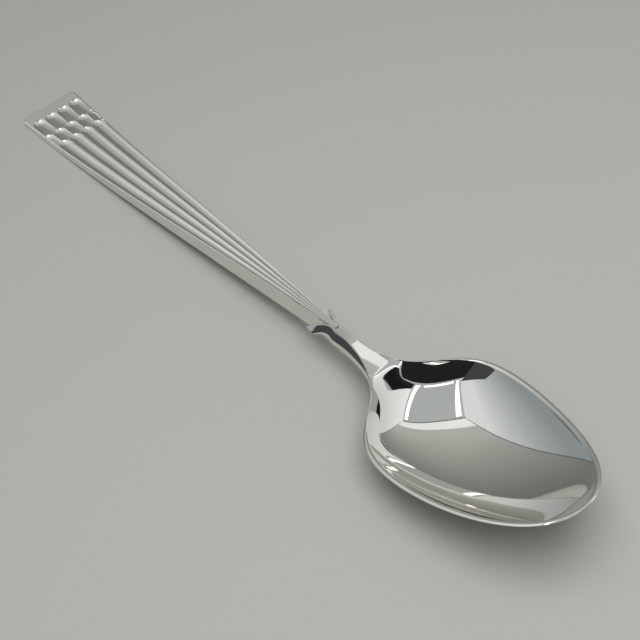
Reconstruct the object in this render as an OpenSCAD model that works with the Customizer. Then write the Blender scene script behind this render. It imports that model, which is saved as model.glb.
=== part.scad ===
// Teaspoon: a polished bowl with a winged neck, and a fluted handle soldered into it.
// X runs from the handle's end to the bowl's tip, Z is up, and Z = 0 is the table.

/* [Overall] */
// Length from the handle's end to the bowl's tip
length = 125; // [115:1:140]

/* [Bowl] */
// Length of neck and bowl, from the handle's seat to the tip
bowl_l = 47.2; // [42:0.2:54]
// Greatest width over the rim
bowl_w = 24.4; // [21:0.2:30]
// Height of the rim at the tip
tip_h = 12.4; // [11:0.2:14]
// How far the rim hangs below a straight line from neck to tip
rim_dip = 3.2; // [2:0.1:3.6]
// Thickness of the metal under the deepest point
bowl_t = 0.9; // [0.7:0.1:1.3]
// Width of the rim band
rim_t = 0.8; // [0.5:0.1:1.2]
// Depth of the worn flat that the belly rests on
belly_flat = 0.12; // [0.08:0.01:0.2]
// Crown of the rounded rim band
rim_crown = 0.16; // [0.1:0.01:0.2]
// Distance from the deepest point to where the hollow's wall would meet the neck's top
hollow_neck_l = 11.8; // [10.5:0.1:13]
// Distance from the deepest point to where the back would meet the neck's underside
back_neck_l = 10.2; // [9:0.1:11.5]
// Length over which the neck side's curve gives way to the tip side's
deep_blend_l = 12; // [9:0.5:15]
// Height over which the hollow's wall bends into the flare
hollow_roll = 0.8; // [0.6:0.1:1.2]
// How far the flare between the rims would sink by the deepest point
flare_sink = 2.5; // [2:0.1:3]
// Height over which the back rolls into the neck
neck_roll = 2.4; // [2:0.1:3.2]

/* [Neck and wings] */
// Height of the neck's top
neck_h = 6.5; // [6.2:0.1:7.2]
// Height of the neck's underside
neck_under_h = 3.5; // [3:0.1:3.8]
// Width of the neck's top, between its edges
neck_top_w = 1; // [0.95:0.05:1.4]
// Width of the neck across the foot of its leaning sides
neck_w = 3.1; // [2.6:0.1:3.6]
// How far the rim's line would rise above the neck's flat top
neck_lift = 0.8; // [0.5:0.1:1]
// Height over which the neck's flat top bends into the rim's line
neck_knee = 0.3; // [0.2:0.05:0.4]
// Width of the edge land along neck and wings
edge_t = 0.15; // [0.1:0.01:0.2]
// Length of a wing, from the seat's end wall to its tip
wing_l = 4.2; // [3.6:0.1:5]
// Span over the two wing tips
wing_span = 4.7; // [4.4:0.1:5.4]
// How far a wing tip lies below the neck's top
wing_drop = 1.7; // [1.2:0.1:2]
// Width of a wing's edge land at its tip
wing_edge_t = 0.45; // [0.3:0.05:0.6]
// Rise of a wing's underside towards its tip
wing_tuck = 0.6; // [0.3:0.05:0.8]

/* [Handle] */
// Width across the handle's end
end_w = 10.9; // [9:0.1:13]
// Width of the handle's top where it meets the neck
root_w = 0.6; // [0.5:0.05:0.7]
// Swell of each side at mid-length beyond a straight taper
side_swell = 0.26; // [0:0.02:0.6]
// Height of the handle's top at its end
end_h = 1.05; // [0.9:0.05:1.5]
// Upward pull on the handle's top, end side
top_low_h = 0.55; // [0.5:0.05:1]
// Upward pull on the handle's top, neck side
top_high_h = 5.75; // [5.3:0.05:6.3]
// Upward pull on the handle's underside, neck side
under_high_h = 2.6; // [2.2:0.1:2.9]
// Spread of the side faces at the end
end_spread = 0.1; // [0.05:0.01:0.2]
// Spread of the side faces at the neck
root_spread = 0.3; // [0.2:0.02:0.5]
// Radius of the two corners of the end, seen from above
corner_r = 1; // [0.6:0.1:1.5]

/* [Flutes and scallops] */
// Number of flutes
flutes = 4; // [3:1:6]
// Depth of a flute at the handle's end
flute_d = 0.42; // [0.25:0.01:0.5]
// Width of the plain strip beside the flutes at the end
side_margin = 0.3; // [0.2:0.05:0.6]
// Drop of the rounded side edges at the end
edge_drop = 0.15; // [0.1:0.01:0.2]
// Plain strip between the end and the first row of scallops
end_margin = 2.2; // [1.8:0.1:3]
// Distance from the first row of scallops to the second
second_row_l = 4.3; // [3.6:0.1:5]
// Distance from the second row of scallops to where the flutes start
flute_row_l = 3.1; // [2.6:0.1:4]
// Length of a scallop's rounded nose
nose_l = 1.2; // [0.8:0.1:1.5]
// Length of the curved wall at a scallop's end
cove_l = 1.2; // [0.8:0.1:1.5]
// Length over which a scallop runs out
fade_l = 5.2; // [4:0.1:6]

/* [Joint] */
// Height of the seat's floor
seat_h = 4.9; // [4.7:0.05:5.2]
// Width of the tongue that lies in the seat
tongue_w = 1; // [0.9:0.05:1.05]
// Length of the seat's floor, in front of its end wall
seat_l = 2.7; // [2.4:0.1:3]
// Thickness of the solder between tongue and seat
solder_t = 0.12; // [0.08:0.01:0.15]
// Height of the solder behind the tongue's end
solder_back_h = 1.5; // [0.8:0.1:1.55]

/* [Hidden] */

// Places along the spoon
end_x = -length / 2;
tip_x = length / 2;
seat_x = tip_x - bowl_l;
shoulder_x = seat_x - seat_l;

// Rim outline, as shares of the bowl's length and half-width
wide_share = 0.513;
deep_share = 0.457;
neck_pull_share = 0.36;
side_pull_share = 0.28;
tip_round_share = 0.727;
flare_share = 0.25;
sink_share = 0.045;
wide_x = seat_x + wide_share * bowl_l;
deep_x = seat_x + deep_share * bowl_l;
sink_x = seat_x + sink_share * bowl_l;

// Part of the hollow's and the back's wall towards the neck that is steep, and where each runs straight
wall_share = 0.35;
hollow_straight_share = 0.7;
back_straight_share = 1.5;

// Cross-section pulls, as shares of half-width and of depth
hollow_side_shares = [0.82, 0.48];
hollow_floor_share = 0.5;
back_side_shares = [0.93, 0.45];
back_floor_share = 0.55;
flank_shares = [1.35, 1.7];
wing_flank_share = 0.3;

// Small sizes of the seat and its clearances
end_draft = 0.15;
wing_gap = 0.7;
floor_share = 0.5;
hook_share = 2.2;

// Mesh counts
across = 28;
wing_steps = 7;
side_steps = 26;
tip_steps = 18;
flute_steps = 10;
scallop_steps = 46;
shaft_steps = 16;
tongue_steps = 3;

function mix(a, b, t) = a + (b - a) * t;
function sq(a) = a * a;

// Point at t on a cubic curve, for numbers or for points
function cubic(p, t) =
    p[0] * pow(1 - t, 3) + p[1] * 3 * sq(1 - t) * t + p[2] * 3 * (1 - t) * sq(t) + p[3] * pow(t, 3);

// Lesser of two heights, rolled together within the height k
function rolled_min(a, b, k) =
    min(a, b) - pow(max(k - abs(a - b), 0) / k, 3) * k / 6;

// Height of the rim above the table, flat over the neck and then down and up along the bowl
function rim_z(x) =
    let (s = (x - seat_x) / bowl_l,
         line = mix(neck_h, tip_h, s) - 4 * rim_dip * s * (1 - s))
    s > flare_share ? line : rolled_min(line + neck_lift * sq(1 - s / flare_share), neck_h, neck_knee);

// A trough from the neck to the tip, with a flatter floor and a steeper wall towards the neck
function eased(t) = let (c = min(1, max(0, t))) sq(c) * (3 - 2 * c);
function steep(b) = mix(sq(b), pow(b, 4), wall_share);
function steep_slope(b) = mix(2 * b, 4 * pow(b, 3), wall_share);
function trough(x, low, neck_l, tip_l, neck_z, straight_share) =
    let (n = abs(x - deep_x) / neck_l,
         b = min(n, straight_share),
         t = sq((x - deep_x) / tip_l))
    low + mix((neck_z - low) * (steep(b) + (n - b) * steep_slope(b)),
              (tip_h - low) * t,
              eased((x - deep_x) / deep_blend_l + 1 / 2));

// Centre line of the hollow, from the neck's top down into the bowl and up to the tip
function hollow_z(x) =
    let (bowl = trough(x, bowl_t, hollow_neck_l, tip_x - rim_t - deep_x, neck_h, hollow_straight_share),
         sink = flare_sink * sq(max(0, x - sink_x) / (deep_x - sink_x)))
    x > deep_x ? bowl : rolled_min(bowl, rim_z(x) - sink, hollow_roll);

// Centre line of the back, from the neck's underside down to the belly and up to the tip
function back_z(x) =
    let (bowl = trough(x, -belly_flat, back_neck_l, tip_x - deep_x, neck_under_h, back_straight_share))
    x > deep_x ? bowl : rolled_min(bowl, neck_under_h, neck_roll);

// Half of the rim outline seen from above, at an inset from the outer edge
function wide_half(inset) = bowl_w / 2 - inset;
function neck_half(inset) = neck_top_w / 2 - min(inset, edge_t);
function side_curve(inset) = [
    [seat_x + end_draft, neck_half(inset)],
    [seat_x + neck_pull_share * bowl_l, neck_half(inset)],
    [wide_x - side_pull_share * bowl_l, wide_half(inset)],
    [wide_x, wide_half(inset)]];

// The pull past the widest place keeps the bend there even
function tip_pull(inset) =
    side_pull_share * bowl_l
    * sqrt(wide_half(inset) * (1 - tip_round_share) / (wide_half(inset) - neck_half(inset)));
function tip_curve(inset) = [
    [wide_x, wide_half(inset)],
    [wide_x + tip_pull(inset), wide_half(inset)],
    [tip_x - inset, wide_half(inset) * tip_round_share],
    [tip_x - inset, 0]];
function rim_at(inset, k) =
    k <= side_steps ? cubic(side_curve(inset), k / side_steps)
                    : cubic(tip_curve(inset), (k - side_steps) / tip_steps);

// Half-section at u, from its edge at 1 to the centre at 0
function hollow_point(edge, edge_z, floor_z, u) = cubic([
    [edge, edge_z],
    [edge * hollow_side_shares[0], mix(floor_z, edge_z, hollow_side_shares[1])],
    [edge * hollow_floor_share, floor_z],
    [0, floor_z]], 1 - u);
function back_point(edge, edge_z, floor_z, lean, u) = cubic([
    [edge, edge_z],
    [edge * back_side_shares[0] + lean * flank_shares[0], mix(floor_z, edge_z, 1 - back_side_shares[1])],
    [edge * back_floor_share + lean * flank_shares[1], floor_z],
    [0, floor_z]], 1 - u);

// Seat between the wings: a flat floor, then a wall up to the wing's edge
function seat_point(floor_half, edge, edge_z, u) =
    u <= floor_share ? [floor_half * u / floor_share, seat_h]
                     : let (t = (u - floor_share) / (1 - floor_share))
                       [mix(floor_half, edge, t), mix(seat_h, edge_z, t)];

// The wings reach further than the floor between them
function wing_reach(u) =
    u <= floor_share ? wing_l - seat_l
                     : (wing_l - seat_l) * (1 - sq((u - floor_share) / (1 - floor_share)));

// Lean of the neck's sides, and the crown of its narrow edges
flank = (neck_w - neck_top_w) / 2;
edge_crown = rim_crown * edge_t / rim_t;

// Width of a wing's edge land, at the share a of the way to its tip
function land(a) = mix(edge_t, wing_edge_t, sq(a));

// Rows of points over the hollow side or the back, from the wing tips to the bowl's tip
function side_of(j) = 2 * j / across - 1;
function wing_row(k, upper) =
    let (a = 1 - k / wing_steps,
         edge = mix(neck_top_w, wing_span, pow(a, hook_share)) / 2,
         edge_z = neck_h - wing_drop * sq(a) - edge_crown,
         floor_half = tongue_w / 2 + solder_t + wing_gap * a,
         lean = flank * mix(1, wing_flank_share, a))
    [for (j = [0:across])
        let (u = abs(side_of(j)),
             x = seat_x - wing_l * a + wing_reach(u) * a,
             p = upper ? seat_point(floor_half, edge - land(a), edge_z, u)
                       : back_point(edge, edge_z, neck_under_h + wing_tuck * sq(a), lean, u))
        [x, sign(side_of(j)) * p[0], p[1]]];

// How far the neck's form still shows in a row of the bowl
function neck_fade(k) = sq(max(0, 1 - k / side_steps));
function bowl_row(k, upper) =
    let (rim = rim_at(upper ? rim_t : 0, k),
         edge_z = rim_z(rim[0]) - mix(rim_crown, edge_crown, neck_fade(k)))
    [for (j = [0:across])
        let (u = abs(side_of(j)),
             p = upper ? hollow_point(rim[1], edge_z, min(edge_z, hollow_z(rim[0])), u)
                       : back_point(rim[1], edge_z, back_z(rim[0]), flank * neck_fade(k), u))
        [rim[0], sign(side_of(j)) * p[0], max(0, p[1])]];

// One ring round the bowl: hollow side, crown of one edge, back, crown of the other edge
function ring_of(upper, lower, crown) =
    let (lift = [0, 0, crown])
    concat(
        upper,
        [(upper[across] + lower[across]) / 2 + lift],
        [for (j = [0:across]) lower[across - j]],
        [(upper[0] + lower[0]) / 2 + lift]);
function bowl_rings() = concat(
    [for (k = [0:wing_steps]) ring_of(wing_row(k, true), wing_row(k, false), edge_crown)],
    [for (k = [0:side_steps + tip_steps - 1])
        ring_of(bowl_row(k, true), bowl_row(k, false), mix(rim_crown, edge_crown, neck_fade(k)))]);
function flat_list(rows) = [for (row = rows) each row];

// Two triangles over four corners
function quad(a, b, c, d) = [[a, b, c], [a, c, d]];

// Faces between the rings of a tube
function tube_faces(rings) =
    let (wide = len(rings[0]))
    [for (k = [0:len(rings) - 2], j = [0:wide - 1])
        let (a = k * wide + j, b = k * wide + (j + 1) % wide)
        each quad(a, b, b + wide, a + wide)];

module bowl() {
    rings = bowl_rings();
    wide = len(rings[0]);
    right = across + 1;
    left = wide - 1;
    tip = len(rings) * wide;
    last = tip - wide;
    tip_points = [
        [tip_x - rim_t, 0, tip_h - rim_crown],
        [tip_x - rim_t / 2, 0, tip_h],
        [tip_x, 0, tip_h - rim_crown]];
    front_faces = concat(
        [for (j = [0:across - 1]) each quad(j, left - 1 - j, left - 2 - j, j + 1)],
        [[across, right + 1, right], [left - 1, 0, left]]);
    tip_faces = concat(
        [for (j = [0:across - 1]) [last + j, last + j + 1, tip]],
        [for (j = [right + 1:left - 2]) [last + j, last + j + 1, tip + 2]],
        quad(last + across, last + right, tip + 1, tip),
        quad(last + right, last + right + 1, tip + 2, tip + 1),
        quad(last + left - 1, last + left, tip + 1, tip + 2),
        quad(last + left, last, tip, tip + 1));
    color("#c9ccce")
        polyhedron(concat(flat_list(rings), tip_points), concat(tube_faces(rings), front_faces, tip_faces));
}

// Sizes of the handle at x: its share of the way to the neck, half-widths and heights
function way(x) = (x - end_x) / (seat_x - end_x);
function corner_cut(d) = d >= corner_r ? 0 : corner_r - sqrt(sq(corner_r) - sq(corner_r - d));
function edge_half(x) =
    let (a = way(x))
    mix(end_w, root_w, a) / 2 + 4 * side_swell * a * (1 - a) - corner_cut(x - end_x);
function taper(x) = mix(end_w, root_w, way(x)) / end_w;
function field_half(x) = edge_half(x) - side_margin * taper(x);
function top_z(x) = cubic([end_h, top_low_h, top_high_h, neck_h], way(x));
function under_z(x) = cubic([0, 0, under_high_h, neck_under_h], way(x));

// Staggered rows of scallops near the end, of which the last runs on as the flutes
row_starts = [end_margin, end_margin + second_row_l, end_margin + second_row_l + flute_row_l];
last_row = len(row_starts) - 1;
function rounded(s) = sqrt(1 - sq(1 - min(1, max(0, s))));
function part_of(r) = r - floor(r);
function arch(f) = 1 - sq(2 * f - 1);
function row_cut(row, d, r) =
    let (hollow = arch(part_of(row % 2 == 0 ? r : r + 1 / 2)),
         past = d - row_starts[row] - nose_l * (1 - sqrt(hollow)),
         left = row == last_row ? 1 : min(1, max(0, 1 - past / fade_l)))
    flute_d * hollow * rounded(past / cove_l) * left;
function flute_cut(x, r) = taper(x) * max([for (row = [0:last_row]) row_cut(row, x - end_x, r)]);

// Stations along the handle, closer together over the scallops
scallops_l = row_starts[last_row] + nose_l + cove_l;
tongue_x = seat_x - solder_t;
stations = concat(
    [for (i = [0:scallop_steps]) end_x + scallops_l * i / scallop_steps],
    [for (i = [1:shaft_steps]) mix(end_x + scallops_l, shoulder_x - end_draft, i / shaft_steps)],
    [for (i = [0:tongue_steps]) mix(shoulder_x, tongue_x, i / tongue_steps)]);

// One ring round the handle: underside corner, edge, fluted top, edge, underside corner
function handle_ring(x) =
    let (in_seat = x >= shoulder_x,
         edge = edge_half(x),
         edge_z = top_z(x) - edge_drop * taper(x),
         low_half = in_seat ? tongue_w / 2 : edge + mix(end_spread, root_spread, way(x)),
         low_z = in_seat ? seat_h + solder_t : under_z(x),
         field = field_half(x),
         count = flutes * flute_steps)
    concat(
        [[x, -low_half, low_z], [x, -edge, edge_z]],
        [for (i = [0:count]) [x, field * (2 * i / count - 1), top_z(x) - flute_cut(x, i / flute_steps)]],
        [[x, edge, edge_z], [x, low_half, low_z]]);

module handle() {
    rings = [for (x = stations) handle_ring(x)];
    wide = len(rings[0]);
    last = (len(rings) - 1) * wide;
    ends = [[for (j = [0:wide - 1]) wide - 1 - j], [for (j = [0:wide - 1]) last + j]];
    color("#bfc3c4") polyhedron(flat_list(rings), concat(tube_faces(rings), ends));
}

// Solder under the tongue and, with the tongue's own section, behind its end
module solder_seam() {
    low = tongue_w / 2;
    high = mix(tongue_w, root_w, solder_back_h / (neck_h - seat_h)) / 2;
    layer = [[-low, 0], [low, 0], [low, solder_t], [-low, solder_t]];
    fillet = [[-low, 0], [low, 0], [high, solder_back_h], [-high, solder_back_h]];
    color("#a9a8a2") {
        translate([shoulder_x, 0, seat_h]) rotate([90, 0, 90]) linear_extrude(seat_l) polygon(layer);
        translate([tongue_x, 0, seat_h]) rotate([90, 0, 90]) linear_extrude(solder_t) polygon(fillet);
    }
}

bowl();
handle();
solder_seam();
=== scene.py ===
import math

import bmesh
import bpy
from mathutils import Matrix, Vector


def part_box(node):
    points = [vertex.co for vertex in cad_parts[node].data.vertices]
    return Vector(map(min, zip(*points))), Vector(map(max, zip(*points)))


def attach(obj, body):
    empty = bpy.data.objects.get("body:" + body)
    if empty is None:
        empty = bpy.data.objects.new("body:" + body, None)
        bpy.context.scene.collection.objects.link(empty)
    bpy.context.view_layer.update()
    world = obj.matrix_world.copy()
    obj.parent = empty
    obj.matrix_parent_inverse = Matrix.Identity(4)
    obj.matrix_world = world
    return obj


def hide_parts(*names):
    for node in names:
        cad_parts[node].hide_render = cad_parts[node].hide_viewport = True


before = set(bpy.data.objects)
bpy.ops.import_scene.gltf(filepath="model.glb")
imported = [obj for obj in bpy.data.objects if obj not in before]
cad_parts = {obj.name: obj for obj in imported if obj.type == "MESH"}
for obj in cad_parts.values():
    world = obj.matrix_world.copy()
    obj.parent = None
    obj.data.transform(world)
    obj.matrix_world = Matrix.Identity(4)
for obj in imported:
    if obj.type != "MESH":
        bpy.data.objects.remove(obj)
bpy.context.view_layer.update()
mm = 0.001
mergeGap = 0.0005  # in mm
bowlLow, bowlHigh = (Vector(corner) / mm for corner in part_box("bowl"))
handleLow = Vector(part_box("handle")[0]) / mm
tipX = bowlHigh.x
endX = handleLow.x
tipHeight = bowlHigh.z
wingX = bowlLow.x
print("frame loaded, spoon from", round(endX, 2), "to", round(tipX, 2), "mm")


def mix(a, b, share):
    return a + (b - a) * share


def clamp(value, low=0.0, high=1.0):
    return min(max(value, low), high)


def eased(share):
    share = clamp(share)
    return share * share * (3 - 2 * share)


def cubicAt(points, share):
    a, b, c, d = points
    rest = 1 - share
    return a * rest**3 + b * 3 * share * rest**2 + c * 3 * share**2 * rest + d * share**3


# the lower of two heights, with a soft turn where they cross
def rolledMin(a, b, roll):
    return min(a, b) - max(roll - abs(a - b), 0) ** 3 / (6 * roll**2)


# a grid of rows and columns, with every vertex moved to its own place on the piece
def shapedGrid(bm, rows, columns, pointAt):
    grid = bmesh.ops.create_grid(bm, x_segments=rows, y_segments=columns, size=0.5)
    for vert in grid["verts"]:
        row = round((vert.co.x + 0.5) * rows)
        column = round((vert.co.y + 0.5) * columns)
        vert.co = Vector(pointAt(row, column)) * mm


def finishPiece(bm, name, material, node, smoothAngle):
    bmesh.ops.remove_doubles(bm, verts=bm.verts, dist=mergeGap * mm)
    bmesh.ops.recalc_face_normals(bm, faces=bm.faces)
    mesh = bpy.data.meshes.new(name)
    bm.to_mesh(mesh)
    bm.free()
    mesh.materials.append(material)
    mesh.polygons.foreach_set("use_smooth", [True] * len(mesh.polygons))
    mesh.set_sharp_from_angle(angle=math.radians(smoothAngle))
    piece = bpy.data.objects.new(name, mesh)
    bpy.context.collection.objects.link(piece)
    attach(piece, "root")
    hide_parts(node)
    return piece


def colour(hexValue):
    parts = [int(hexValue[i : i + 2], 16) / 255 for i in (1, 3, 5)]
    return [p / 12.92 if p <= 0.04045 else ((p + 0.055) / 1.055) ** 2.4 for p in parts] + [1.0]


def newMaterial(name):
    material = bpy.data.materials.new(name)
    material.use_nodes = True
    material.node_tree.nodes.clear()
    return material, material.node_tree


# adds a node with its settings, and links or sets each of its inputs
def addNode(tree, kind, inputs=None, **settings):
    node = tree.nodes.new(kind)
    for key, value in settings.items():
        setattr(node, key, value)
    for key, value in (inputs or {}).items():
        if isinstance(value, bpy.types.NodeSocket):
            tree.links.new(value, node.inputs[key])
        else:
            node.inputs[key].default_value = value
    return node


def noise(tree, place, size, **inputs):
    inputs = {"Vector": place, "Scale": 1 / (size * mm), **inputs}
    return addNode(tree, "ShaderNodeTexNoise", inputs).outputs[0]


def blend(tree, share, low, high):
    inputs = {0: share, 6: colour(low), 7: colour(high)}
    return addNode(tree, "ShaderNodeMix", inputs, data_type="RGBA").outputs[2]


def bump(tree, height, strength, depth):
    inputs = {"Strength": strength, "Distance": depth * mm, "Height": height}
    return addNode(tree, "ShaderNodeBump", inputs).outputs[0]


def finishMetal(tree, tint, gloss, relief):
    inputs = {"Base Color": tint, "Metallic": 1.0, "Roughness": gloss, "Normal": relief}
    shader = addNode(tree, "ShaderNodeBsdfPrincipled", inputs)
    addNode(tree, "ShaderNodeOutputMaterial", {"Surface": shader.outputs[0]})


# silver plate, buffed to a mirror: near-white, clear reflections, faint hairlines and smudges
polishedSilver, tree = newMaterial("mirror polished silver plate")
place = addNode(tree, "ShaderNodeTexCoord").outputs["Object"]
smudge = noise(tree, place, 7, Detail=3, Roughness=0.55)
stretch = {"Vector": place, "Rotation": (0, 0, 0.35), "Scale": (0.05, 1, 1)}
hairPlace = addNode(tree, "ShaderNodeMapping", stretch).outputs[0]
hairline = noise(tree, hairPlace, 0.25, Detail=2)
gloss = addNode(tree, "ShaderNodeMapRange", {0: smudge, 1: 0.35, 2: 0.75, 3: 0.03, 4: 0.065})
tint = blend(tree, smudge, "#e4e2dd", "#efeeea")
finishMetal(tree, tint, gloss.outputs[0], bump(tree, hairline, 0.02, 0.02))

# silver plate with a soft hand polish: broad highlights and fine lengthwise grain
satinSilver, tree = newMaterial("soft polished silver plate")
place = addNode(tree, "ShaderNodeTexCoord").outputs["Object"]
grainPlace = addNode(tree, "ShaderNodeMapping", {"Vector": place, "Scale": (0.08, 1, 1)}).outputs[0]
grain = noise(tree, grainPlace, 0.12, Detail=2)
bloom = noise(tree, place, 5, Detail=3)
gloss = addNode(tree, "ShaderNodeMapRange", {0: bloom, 1: 0.3, 2: 0.7, 3: 0.09, 4: 0.13})
tint = blend(tree, bloom, "#e2e1dc", "#efeeea")
finishMetal(tree, tint, gloss.outputs[0], bump(tree, grain, 0.08, 0.02))

# silver solder, left as it flowed: duller and a little yellower than the plate, with a blotchy skin
dullSolder, tree = newMaterial("dull silver solder")
place = addNode(tree, "ShaderNodeTexCoord").outputs["Object"]
blotch = noise(tree, place, 0.4, Detail=3)
tint = blend(tree, blotch, "#a9a59b", "#cfccc3")
finishMetal(tree, tint, 0.4, bump(tree, blotch, 0.3, 0.03))
print("materials made")


def arch(part):
    return 1 - (2 * part - 1) ** 2


# which part of a ring a column falls in, and how far along that part
def ringPlace(counts, column):
    for part, count in enumerate(counts):
        if column <= count:
            return part, column / count
        column -= count


bowl = {
    "length": 47.2,  # from the seat's end to the tip
    "wideShare": 0.513,  # part of the length to the widest place, the deepest point and the dish
    "deepShare": 0.457,
    "dishShare": 0.045,
    "neckPull": 0.36,  # part of the length over which the outline leaves the neck
    "sidePull": 0.28,  # and over which it comes to its full width
    "tipRound": 0.727,
    "rimDip": 3.2,
    "wall": 0.9,
    "rimBand": 0.8,
    "bellyFlat": 0.12,
    "wallShare": 0.35,
    "hollowStraight": 0.78,  # part of the way to the neck at which the wall turns straight
    "backStraight": 1.5,
    "hollowSide": (0.82, 0.48, 0.5),  # section: width and height by the rim, width of the floor
    "backSide": (0.93, 0.55, 0.55),
    "flankBulge": (1.35, 1.7),  # how far the neck's leaning sides push the section out
    "hollowNeck": 12.4,  # from the deepest point back to where the hollow would meet the neck
    "backNeck": 10.2,
    "deepBlend": 6,
    "dish": 1.6,  # how far the flare between the rims would sink by the deepest point
    "hollowRoll": 0.45,  # heights over which the hollow and the back bend into the neck
    "neckRoll": 2.4,
    "neckHeight": 6.5,
    "neckUnder": 3.5,
    "neckTop": 1.0,
    "neckLift": 0.8,  # how far the rim's line would rise above the neck's flat top
    "neckKnee": 0.3,
    "flareShare": 0.25,  # part of the length over which that rise fades
    "neckWidth": 3.1,  # across the foot of its leaning sides
    "edge": 0.15,
    "wingSpan": 4.7,
    "wingCurve": 2.2,
    "wingLean": 0.7,  # how far the lean of the neck's sides is lost by a wing's tip
    "wingDrop": 1.7,
    "wingEdge": 0.45,  # width of the land along a wing's edge, at its tip
    "seatLength": 2.7,
    "seatHeight": 4.9,
    "tongueWidth": 1.0,
    "solder": 0.12,
    "wingGap": 0.7,
    "endDraft": 0.15,
    "rimCrown": 0.16,
    "rimColumns": 6,
    "wingTuck": 0.6,
    "wingRound": 0.5,
    "roundRows": 3,
    "rows": (18, 120, 80),  # wings, neck to widest, widest to tip
    "across": 96,
    "smoothAngle": 38,
}
bowlHalf = bowlHigh.y
seatX = tipX - bowl["length"]
wideX = seatX + bowl["wideShare"] * bowl["length"]
deepX = seatX + bowl["deepShare"] * bowl["length"]
dishX = seatX + bowl["dishShare"] * bowl["length"]
flank = (bowl["neckWidth"] - bowl["neckTop"]) / 2
neckCrown = bowl["rimCrown"] * bowl["edge"] / bowl["rimBand"]


def rimHeight(x):
    share = (x - seatX) / bowl["length"]
    line = mix(bowl["neckHeight"], tipHeight, share) - 4 * bowl["rimDip"] * share * (1 - share)
    if share > bowl["flareShare"]:
        return line
    flare = line + bowl["neckLift"] * (1 - share / bowl["flareShare"]) ** 2
    return rolledMin(flare, bowl["neckHeight"], bowl["neckKnee"])


# a trough from the neck to the tip, with a flatter floor and a steeper wall towards the neck
def trough(x, low, neckLength, tipLength, neckHeight, straight):
    neckShare = abs(x - deepX) / neckLength
    tipShare = (x - deepX) / tipLength
    bend = min(neckShare, straight)  # the wall runs straight from there on
    slope = mix(2 * bend, 4 * bend**3, bowl["wallShare"])
    rise = mix(bend**2, bend**4, bowl["wallShare"]) + (neckShare - bend) * slope
    neckSide = (neckHeight - low) * rise
    tipSide = (tipHeight - low) * tipShare**2
    return low + mix(neckSide, tipSide, eased((x - deepX) / bowl["deepBlend"] / 2 + 0.5))


def hollowHeight(x):
    tipLength = tipX - bowl["rimBand"] - deepX
    neck, straight = bowl["hollowNeck"], bowl["hollowStraight"]
    low = trough(x, bowl["wall"], neck, tipLength, bowl["neckHeight"], straight)
    dish = bowl["dish"] * clamp((x - dishX) / (deepX - dishX)) ** 2
    return low if x > deepX else rolledMin(low, rimHeight(x) - dish, bowl["hollowRoll"])


def backHeight(x):
    neck, straight = bowl["backNeck"], bowl["backStraight"]
    low = trough(x, -bowl["bellyFlat"], neck, tipX - deepX, bowl["neckUnder"], straight)
    return low if x > deepX else rolledMin(low, bowl["neckUnder"], bowl["neckRoll"])


# the outline from the neck to the widest place, and from there round the tip
def outlineAt(row, inset):
    wingRows, sideRows, tipRows = bowl["rows"]
    half = bowlHalf - inset
    neck = bowl["neckTop"] / 2 - min(inset, bowl["edge"])
    sidePull = bowl["sidePull"] * bowl["length"]
    tipRound = bowl["tipRound"] * half
    # keeps the bend even at the widest place
    tipPull = sidePull * math.sqrt((half - tipRound) / (half - neck))
    if row <= wingRows + sideRows:
        points = (
            Vector((seatX + bowl["endDraft"], neck)),
            Vector((seatX + bowl["neckPull"] * bowl["length"], neck)),
            Vector((wideX - sidePull, half)),
            Vector((wideX, half)),
        )
        return cubicAt(points, (row - wingRows) / sideRows)
    points = (
        Vector((wideX, half)),
        Vector((wideX + tipPull, half)),
        Vector((tipX - inset, tipRound)),
        Vector((tipX - inset, 0)),
    )
    return cubicAt(points, (row - wingRows - sideRows) / tipRows)


def sectionAt(points, share):
    return cubicAt([Vector(p) for p in points], share)


def backPoint(edge, edgeHeight, floor, lean, u):
    side, rise, flat = bowl["backSide"]
    sideBulge, flatBulge = bowl["flankBulge"]
    points = (
        (edge, edgeHeight),
        (edge * side + sideBulge * lean, mix(floor, edgeHeight, rise)),
        (edge * flat + flatBulge * lean, floor),
        (0, floor),
    )
    return sectionAt(points, 1 - u)


def hollowPoint(edge, edgeHeight, floor, u):
    side, rise, flat = bowl["hollowSide"]
    points = (
        (edge, edgeHeight),
        (edge * side, mix(floor, edgeHeight, rise)),
        (edge * flat, floor),
        (0, floor),
    )
    return sectionAt(points, 1 - u)


# the seat between the wings: a flat floor out to the middle, then a wall up to the wing's edge
def seatPoint(floorHalf, edge, edgeHeight, u):
    wall = clamp(2 * u - 1)
    y = mix(floorHalf, edge, wall) if u > 0.5 else floorHalf * 2 * u
    return Vector((y, mix(bowl["seatHeight"], edgeHeight, wall)))


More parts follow.
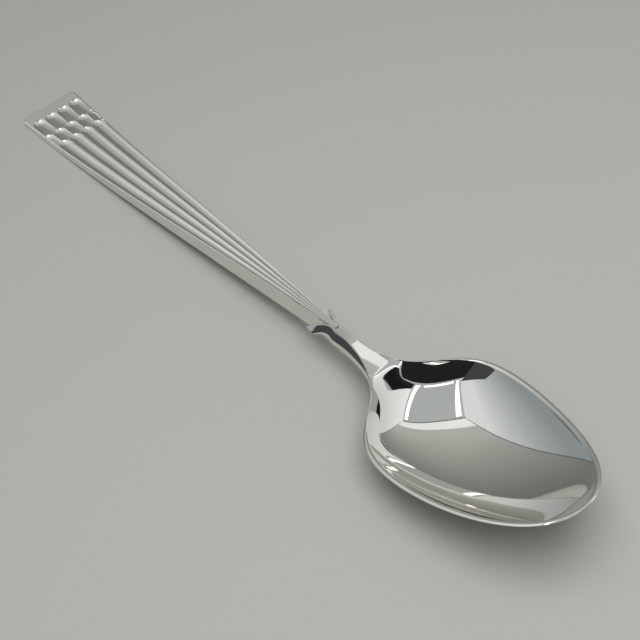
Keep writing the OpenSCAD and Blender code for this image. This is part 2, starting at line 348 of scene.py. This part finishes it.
# a point of the hollow or of the back, on one side of the spoon
def bowlPoint(row, side, upper):
    wingRows, sideRows = bowl["rows"][:2]
    u = abs(side)
    if row < wingRows:
        wing = 1 - row / wingRows
        wingLength = seatX - wingX
        edge = mix(bowl["neckTop"], bowl["wingSpan"], wing ** bowl["wingCurve"]) / 2
        edgeHeight = bowl["neckHeight"] - bowl["wingDrop"] * wing**2 - neckCrown
        floorHalf = bowl["tongueWidth"] / 2 + bowl["solder"] + bowl["wingGap"] * wing
        reach = (wingLength - bowl["seatLength"]) * (1 - clamp(2 * u - 1) ** 2)
        x = seatX - (wingLength - reach) * wing
        if upper:
            land = mix(bowl["edge"], bowl["wingEdge"], wing**2)
            point = seatPoint(floorHalf, edge - land, edgeHeight, u)
        else:
            under = bowl["neckUnder"] + bowl["wingTuck"] * wing**2
            point = backPoint(edge, edgeHeight, under, flank * (1 - bowl["wingLean"] * wing), u)
    else:
        rim = outlineAt(row, bowl["rimBand"] if upper else 0)
        fade = clamp(1 - (row - wingRows) / sideRows) ** 2
        x = rim.x
        edgeHeight = rimHeight(x) - mix(bowl["rimCrown"], neckCrown, fade)
        if upper:
            point = hollowPoint(rim.y, edgeHeight, min(hollowHeight(x), edgeHeight), u)
        else:
            point = backPoint(rim.y, edgeHeight, backHeight(x), flank * fade, u)
    return Vector((x, math.copysign(point.x, side), max(point.y, 0)))


bowlRing = (bowl["across"], bowl["rimColumns"]) * 2  # hollow, rim, back, rim


# once round the section: the hollow, one rim, the back and the other rim
def bowlRingPoint(row, column):
    roundRow = row - bowl["roundRows"]
    if roundRow < 0:
        return wingEndPoint(row / bowl["roundRows"], column)
    part, way = ringPlace(bowlRing, column)
    if part == 0:
        return bowlPoint(roundRow, 2 * way - 1, True)
    if part == 2:
        return bowlPoint(roundRow, 1 - 2 * way, False)
    side = 1 if part == 1 else -1
    inner, outer = bowlPoint(roundRow, side, True), bowlPoint(roundRow, side, False)
    point = inner.lerp(outer, way if part == 1 else 1 - way)
    fade = clamp(1 - (roundRow - bowl["rows"][0]) / bowl["rows"][1]) ** 2
    point.z += mix(bowl["rimCrown"], neckCrown, fade) * arch(way)
    return point


# the rounded front of the wings and of the seat's floor, where the hollow side meets the back
def wingEndPoint(share, column):
    part, way = ringPlace(bowlRing, column)
    side = (2 * way - 1, 1, 1 - 2 * way, -1)[part]
    upper, lower = bowlPoint(0, side, True), bowlPoint(0, side, False)
    middle = (upper + lower) / 2
    start = upper.lerp(lower, (0, way, 1, 1 - way)[part])
    angle = share * math.pi / 2
    point = middle.lerp(start, math.sin(angle))
    point.x -= bowl["wingRound"] * (upper - lower).length * math.cos(angle)
    return point


bm = bmesh.new()
shapedGrid(bm, bowl["roundRows"] + sum(bowl["rows"]), sum(bowlRing), bowlRingPoint)
finishPiece(bm, "mirror_bowl", polishedSilver, "bowl", bowl["smoothAngle"])
print("bowl shaped")

handle = {
    "endWidth": 10.9,
    "rootWidth": 0.6,
    "sideSwell": 0.26,
    "endHeight": 1.05,
    "topLow": 0.55,
    "topHigh": 5.75,
    "underHigh": 2.6,
    "endSpread": 0.1,
    "rootSpread": 0.3,
    "cornerRadius": 1.0,
    "flutes": 4,
    "fluteDepth": 0.42,
    "rowStarts": (2.2, 6.5, 9.6),  # from the handle's end to the tips of each row of scallops
    "scallopNose": 1.2,
    "cove": 1.2,  # length of the curved wall at a scallop's end
    "fade": 5.2,  # length over which a scallop runs out
    "sideMargin": 0.3,
    "edgeRound": 0.15,
    "rows": (220, 100, 4),  # scallops, plain flutes, tongue
    "acrossFlute": 24,
    "sideColumns": (4, 3, 4),  # under, side, edge
    "smoothAngle": 30,
}
shoulderX = seatX - bowl["seatLength"]
tongueX = seatX - bowl["solder"]
scallopsX = endX + handle["rowStarts"][-1] + handle["scallopNose"] + handle["cove"]


def handleShare(x):
    return (x - endX) / (seatX - endX)


def handleTaper(x):
    return mix(handle["endWidth"], handle["rootWidth"], handleShare(x)) / handle["endWidth"]


def handleHalf(x):
    share = handleShare(x)
    radius = handle["cornerRadius"]
    short = max(radius - (x - endX), 0)
    corner = radius - math.sqrt(radius**2 - short**2)
    width = mix(handle["endWidth"], handle["rootWidth"], share)
    return width / 2 + 4 * handle["sideSwell"] * share * (1 - share) - corner


# depth of the cut at a distance from the handle's end and a place across the flutes:
# staggered rows of scallops, of which the last runs on as the flutes
def fluteCut(fromEnd, across):
    deepest = 0
    for row, start in enumerate(handle["rowStarts"]):
        hollow = arch((across + 0.5 * (row % 2)) % 1)
        past = fromEnd - start - handle["scallopNose"] * (1 - math.sqrt(hollow))
        wall = math.sqrt(1 - (1 - clamp(past / handle["cove"])) ** 2)
        last = row + 1 == len(handle["rowStarts"])
        left = 1 if last else clamp(1 - past / handle["fade"])
        deepest = max(deepest, handle["fluteDepth"] * hollow * wall * left)
    return deepest


fieldColumns = handle["flutes"] * handle["acrossFlute"]
handleRing = (*handle["sideColumns"], fieldColumns, *reversed(handle["sideColumns"]))


def handleX(row):
    scallopRows, shaftRows, tongueRows = handle["rows"]
    if row <= scallopRows:
        return mix(endX, scallopsX, row / scallopRows)
    if row <= scallopRows + shaftRows:
        return mix(scallopsX, shoulderX, (row - scallopRows) / shaftRows)
    return mix(shoulderX, tongueX, (row - scallopRows - shaftRows) / tongueRows)


def handlePoint(row, column):
    x = handleX(row)
    share = handleShare(x)
    taper = handleTaper(x)
    edge = handleHalf(x)
    field = edge - handle["sideMargin"] * taper
    drop = handle["edgeRound"] * taper
    topCurve = (handle["endHeight"], handle["topLow"], handle["topHigh"], bowl["neckHeight"])
    top = cubicAt(topCurve, share)
    low = cubicAt((0, 0, handle["underHigh"], bowl["neckUnder"]), share)
    wide = edge + mix(handle["endSpread"], handle["rootSpread"], share)
    if row > handle["rows"][0] + handle["rows"][1]:  # the tongue is narrower and lies on its solder
        wide = bowl["tongueWidth"] / 2
        low = bowl["seatHeight"] + bowl["solder"]
    part, way = ringPlace(handleRing, column)
    side = -1 if part < 3 else 1
    if part == 3:
        cut = fluteCut(x - endX, handle["flutes"] * way) * taper
        return x, mix(-field, field, way), top - cut
    inward = way if side < 0 else 1 - way
    if part in (0, 6):
        return x, side * wide * inward, low
    if part in (1, 5):
        return x, side * mix(wide, edge, inward), mix(low, top - drop, inward)
    angle = inward * math.pi / 2
    return x, side * (field + (edge - field) * math.cos(angle)), top - drop * (1 - math.sin(angle))


bm = bmesh.new()
shapedGrid(bm, sum(handle["rows"]), sum(handleRing), handlePoint)
bmesh.ops.remove_doubles(bm, verts=bm.verts, dist=mergeGap * mm)
bmesh.ops.holes_fill(bm, edges=[edge for edge in bm.edges if edge.is_boundary])
flutedHandle = finishPiece(
    bm, "fluted_handle", satinSilver, "handle", handle["smoothAngle"]
)
print("handle shaped")

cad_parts["solder_seam"].material_slots[0].material = dullSolder

camera = {
    "focal": 1401.7,  # in pixels of the 640 pixel frame
    "pitch": 49.708,
    "heading": 54.531,
    "roll": -7.140,
    "aim": (8.087, 2.334, 0),
    "distance": 211.15,
}
framePixels = 640
turn = (
    Matrix.Rotation(math.radians(camera["heading"]), 4, "Z")
    @ Matrix.Rotation(math.radians(90 - camera["pitch"]), 4, "X")
    @ Matrix.Rotation(math.radians(camera["roll"]), 4, "Z")
)
lens = bpy.data.cameras.new("camera")
lens.sensor_width = 36
lens.lens = lens.sensor_width * camera["focal"] / framePixels
lens.clip_start = 0.01
viewer = bpy.data.objects.new("camera", lens)
away = Matrix.Translation((0, 0, camera["distance"] * mm))
viewer.matrix_world = Matrix.Translation(Vector(camera["aim"]) * mm) @ turn @ away
bpy.context.collection.objects.link(viewer)
bpy.context.scene.camera = viewer
print("camera set")

# a white tent round the spoon, open and dark at the front, with lamps along three sides of its roof
# places in mm to the right, ahead and up, seen from the camera, from a point in the bowl
tent = {
    "centre": 3,  # from the bowl's deepest point towards the tip
    "height": 300,
    # front left, front right, back right, back left
    "roof": ((-160, -213), (88, -196), (218, 128), (-90, 108)),
    "backLeft": (-125, 160),
    "backRight": (205, 140),
    "leftFront": (-150, -44),
    "dark_reflection_panel": (-30, 4, 26, 10.5),  # right, from ahead, to ahead, height
    "rightFront": (189, 69),
    "rightTop": (115, -128),
    "sideFront": (230, -150),
    "sideTop": (180, -170),
    "brow": ((330, -250), (380, 60)),
    "leftCard": ((-130, -40, 105), (-132, -150, 260)),  # its top corners
    "card": (-150, 380, 208),  # ahead, half width, height
    "stripDrop": 1,  # from the roof down to the strips on it
    "lampInset": 0.05,
    "lampWidth": 0.075,
    "bandShare": 0.77,  # height share at which the back wall's white band starts
    "seam": 3,
    "seamLift": 1,
    "roofSeam": 0.015,
    "floorSize": 3000,
}
heading = Matrix.Rotation(math.radians(camera["heading"]), 4, "Z")
tentPlace = Matrix.Translation(Vector((deepX + tent["centre"], 0, 0)) * mm) @ heading


# a cloth or card that shines by itself and may change in shade with its height
def glowing(name, low, high=None, span=(0, 1), strength=1.0):
    material, tree = newMaterial(name)
    place = addNode(tree, "ShaderNodeTexCoord").outputs["Object"]
    height = addNode(tree, "ShaderNodeSeparateXYZ", {0: place}).outputs["Z"]
    rise = addNode(tree, "ShaderNodeMapRange", {0: height, 1: span[0] * mm, 2: span[1] * mm})
    shade = blend(tree, rise.outputs[0], low, high or low)
    glow = addNode(tree, "ShaderNodeEmission", {"Color": shade, "Strength": strength})
    addNode(tree, "ShaderNodeOutputMaterial", {"Surface": glow.outputs[0]})
    return material


# a panel of the tent between four corners
def tentPanel(name, corners, material):
    bm = bmesh.new()
    bmesh.ops.create_grid(bm, x_segments=1, y_segments=1, size=0.5)
    for vert in bm.verts:
        column = int(vert.co.x > 0)
        corner = corners[3 - column if vert.co.y > 0 else column]
        vert.co = tentPlace @ (Vector(corner) * mm)
    mesh = bpy.data.meshes.new(name)
    bm.to_mesh(mesh)
    bm.free()
    mesh.materials.append(material)
    panel = bpy.data.objects.new(name, mesh)
    bpy.context.collection.objects.link(panel)
    panel.visible_camera = False
    panel.visible_shadow = False
    panel.visible_diffuse = False


def standingCard(name, start, stop, tall, material):
    tentPanel(name, ((*start, 0), (*stop, 0), (*stop, tall), (*start, tall)), material)


# a place on the roof, by shares across it and along it from the front
def roofAt(across, along, below=0):
    frontLeft, frontRight, backRight, backLeft = (Vector(corner) for corner in tent["roof"])
    spot = frontLeft.lerp(frontRight, across).lerp(backLeft.lerp(backRight, across), along)
    return spot.x, spot.y, tent["height"] - below


def roofStrip(name, low, high, material):
    shares = (low, (high[0], low[1]), high, (low[0], high[1]))
    tentPanel(name, [roofAt(*share, tent["stripDrop"]) for share in shares], material)


def onFloor(name):
    return *tent[name], 0


def atRoof(name):
    return *tent[name], tent["height"]


# these walls glow darker towards the floor and lighter towards the roof: painted shade and light,
# as the roof lamps light their upper parts more
whiteCloth = glowing("white cloth wall", "#ccd3d3", "#fafcfc", (0, tent["height"]))
coolCloth = glowing("cool cloth wall", "#919a9c", "#e6e9eb", (40, 190))
greyPaper = glowing("grey paper wall", "#727370", "#b9bab5", (0, 190))
bandCloth = glowing("white band", "#f6f8f8")
roofCloth = glowing("roof cloth", "#b6bbbb")
lampStrip = glowing("lamp strip", "#ffffff", strength=2.5)
darkCard = glowing("dark card", "#1c1c1e", "#242426")
sideCard = glowing("card with a dark top", "#b4b8b8", "#1c1c1e", (135, 150))
# a dim grey glow, seen only in the metal: painted dark reflections on the neck's side and from the
# left card
darkReflectionGlow = glowing("grey glow for painted dark reflections", "#46484a")
darkSeam = glowing("dark seam", "#3c3e40")

roofFront = roofAt(0, 0), roofAt(1, 0)  # left, right
roofBack = roofAt(0, 1), roofAt(1, 1)
back = onFloor("backLeft"), onFloor("backRight")
band = [Vector(low).lerp(Vector(high), tent["bandShare"]) for low, high in zip(back, roofBack)]
rightFront, rightTop = onFloor("rightFront"), atRoof("rightTop")
browFront, browBack = ((*spot, tent["height"]) for spot in tent["brow"])
cardBack, cardFront = tent["leftCard"]
panels = {
    "roof": ((*roofFront, *reversed(roofBack)), roofCloth),
    "back_wall": ((*back, *reversed(band)), greyPaper),
    "back_band": ((*band, *reversed(roofBack)), bandCloth),
    "left_wall": ((onFloor("leftFront"), back[0], roofBack[0], roofFront[0]), coolCloth),
    "right_wall": ((rightFront, back[1], roofBack[1], rightTop), whiteCloth),
    "side_card": ((rightFront, onFloor("sideFront"), atRoof("sideTop"), rightTop), sideCard),
    "left_card": (((*cardBack[:2], 0), (*cardFront[:2], 0), cardFront, cardBack), darkReflectionGlow),
    "side_brow": ((roofFront[1], browFront, browBack, roofBack[1]), darkCard),
}
for name, (corners, material) in panels.items():
    tentPanel(name, corners, material)
ahead, half, tall = tent["card"]
standingCard("front_card", (-half, ahead), (half, ahead), tall, darkCard)
# a dim grey panel beside the neck that casts no shadow: a painted dark reflection along the neck's
# leaning side
right, near, far, tall = tent["dark_reflection_panel"]
standingCard("dark_reflection_panel", (right, near), (right, far), tall, darkReflectionGlow)
inset, wide = tent["lampInset"], tent["lampWidth"]
roofStrip("lamp_left", (inset, inset), (inset + wide, 1 - inset), lampStrip)
roofStrip("lamp_right", (1 - inset - wide, inset), (1 - inset, 1 - inset), lampStrip)
roofStrip("lamp_front", (inset + 2 * wide, inset), (1 - inset - 2 * wide, inset + wide), lampStrip)
roofStrip("seam_top", (0, 1 - tent["roofSeam"]), (1, 1), darkSeam)
lift = Vector((0, -tent["seamLift"], 0))
for side, name in enumerate(("backLeft", "backRight")):
    low, high = Vector(back[side]) + lift, Vector(roofBack[side]) + lift
    step = Vector((tent["seam"] * (1 - 2 * side), 0, 0))
    tentPanel(f"seam_{name}", (low, low + step, high + step, high), darkSeam)


def areaLamp(name, size, energy, place):
    lamp = bpy.data.lights.new(name, "AREA")
    lamp.shape = "RECTANGLE"
    lamp.size, lamp.size_y = (side * mm for side in size)
    lamp.energy = energy
    holder = bpy.data.objects.new(name, lamp)
    holder.matrix_world = place
    holder.visible_camera = False
    bpy.context.collection.objects.link(holder)
    return holder


# one broad lamp under the roof, for the floor; the metal shows the strips instead
broad = {"size": (260, 280), "energy": 0.82, "place": (12, -40, 296)}
broadPlace = tentPlace @ Matrix.Translation(Vector(broad["place"]) * mm)
broadLamp = areaLamp("broad_lamp", broad["size"], broad["energy"], broadPlace)
broadLamp.visible_glossy = False

# lamps for the handle alone, whose softer polish gathers more light than the bowl's mirror shows
handleOnly = bpy.data.collections.new("handle only")
handleOnly.objects.link(flutedHandle)
handleLamps = {
    "back": ((-56, 125, 70), (80, 66), 0.16),  # place and size in mm, and how bright its face is
    "left": ((-108, 85, 75), (100, 55), 0.22),
    "roof": ((-100, 15, 270), (100, 100), 6.0),
    "front": ((235, -140, 165), (60, 60), 6.0),
    "edge": ((-124, 62, 30), (110, 24), 1.0),
}
lampAim = Vector((mix(endX, seatX, 0.4), 0, 3)) * mm
for name, (spot, size, glow) in handleLamps.items():
    place = tentPlace @ (Vector(spot) * mm)
    turn = (place - lampAim).to_track_quat("Z", "Y").to_matrix().to_4x4()
    energy = glow * math.pi * size[0] * size[1] * mm**2
    handleLamp = areaLamp(f"handle_lamp_{name}", size, energy, Matrix.Translation(place) @ turn)
    handleLamp.light_linking.receiver_collection = handleOnly

# matt pale floor
floorPaint, tree = newMaterial("matt pale floor")
paint = {"Base Color": colour("#a9aaa4"), "Roughness": 0.8}
shader = addNode(tree, "ShaderNodeBsdfPrincipled", paint)
addNode(tree, "ShaderNodeOutputMaterial", {"Surface": shader.outputs[0]})
bm = bmesh.new()
bmesh.ops.create_grid(bm, x_segments=1, y_segments=1, size=tent["floorSize"] * mm / 2)
mesh = bpy.data.meshes.new("floor")
bm.to_mesh(mesh)
bm.free()
mesh.materials.append(floorPaint)
floor = bpy.data.objects.new("floor", mesh)
bpy.context.collection.objects.link(floor)

studio = {"sky": "#e6e7e6", "light": 0.46, "seen": 0.6}  # brighter to the eye than on the floor
world = bpy.data.worlds.new("studio")
world.use_nodes = True
tree = world.node_tree
tree.nodes.clear()
path = addNode(tree, "ShaderNodeLightPath")
seen = addNode(
    tree,
    "ShaderNodeMath",
    {0: path.outputs["Is Camera Ray"], 1: path.outputs["Is Glossy Ray"]},
    operation="MAXIMUM",
)
seenThrough = addNode(
    tree,
    "ShaderNodeMath",
    {0: seen.outputs[0], 1: path.outputs["Is Transmission Ray"]},
    operation="MAXIMUM",
)
levels = {0: seenThrough.outputs[0], 3: studio["light"], 4: studio["seen"]}
level = addNode(tree, "ShaderNodeMapRange", levels).outputs[0]
sky = addNode(tree, "ShaderNodeBackground", {"Color": colour(studio["sky"]), "Strength": level})
addNode(tree, "ShaderNodeOutputWorld", {"Surface": sky.outputs[0]})
bpy.context.scene.world = world
bpy.context.scene.view_settings.view_transform = "Standard"
print("stage lit")
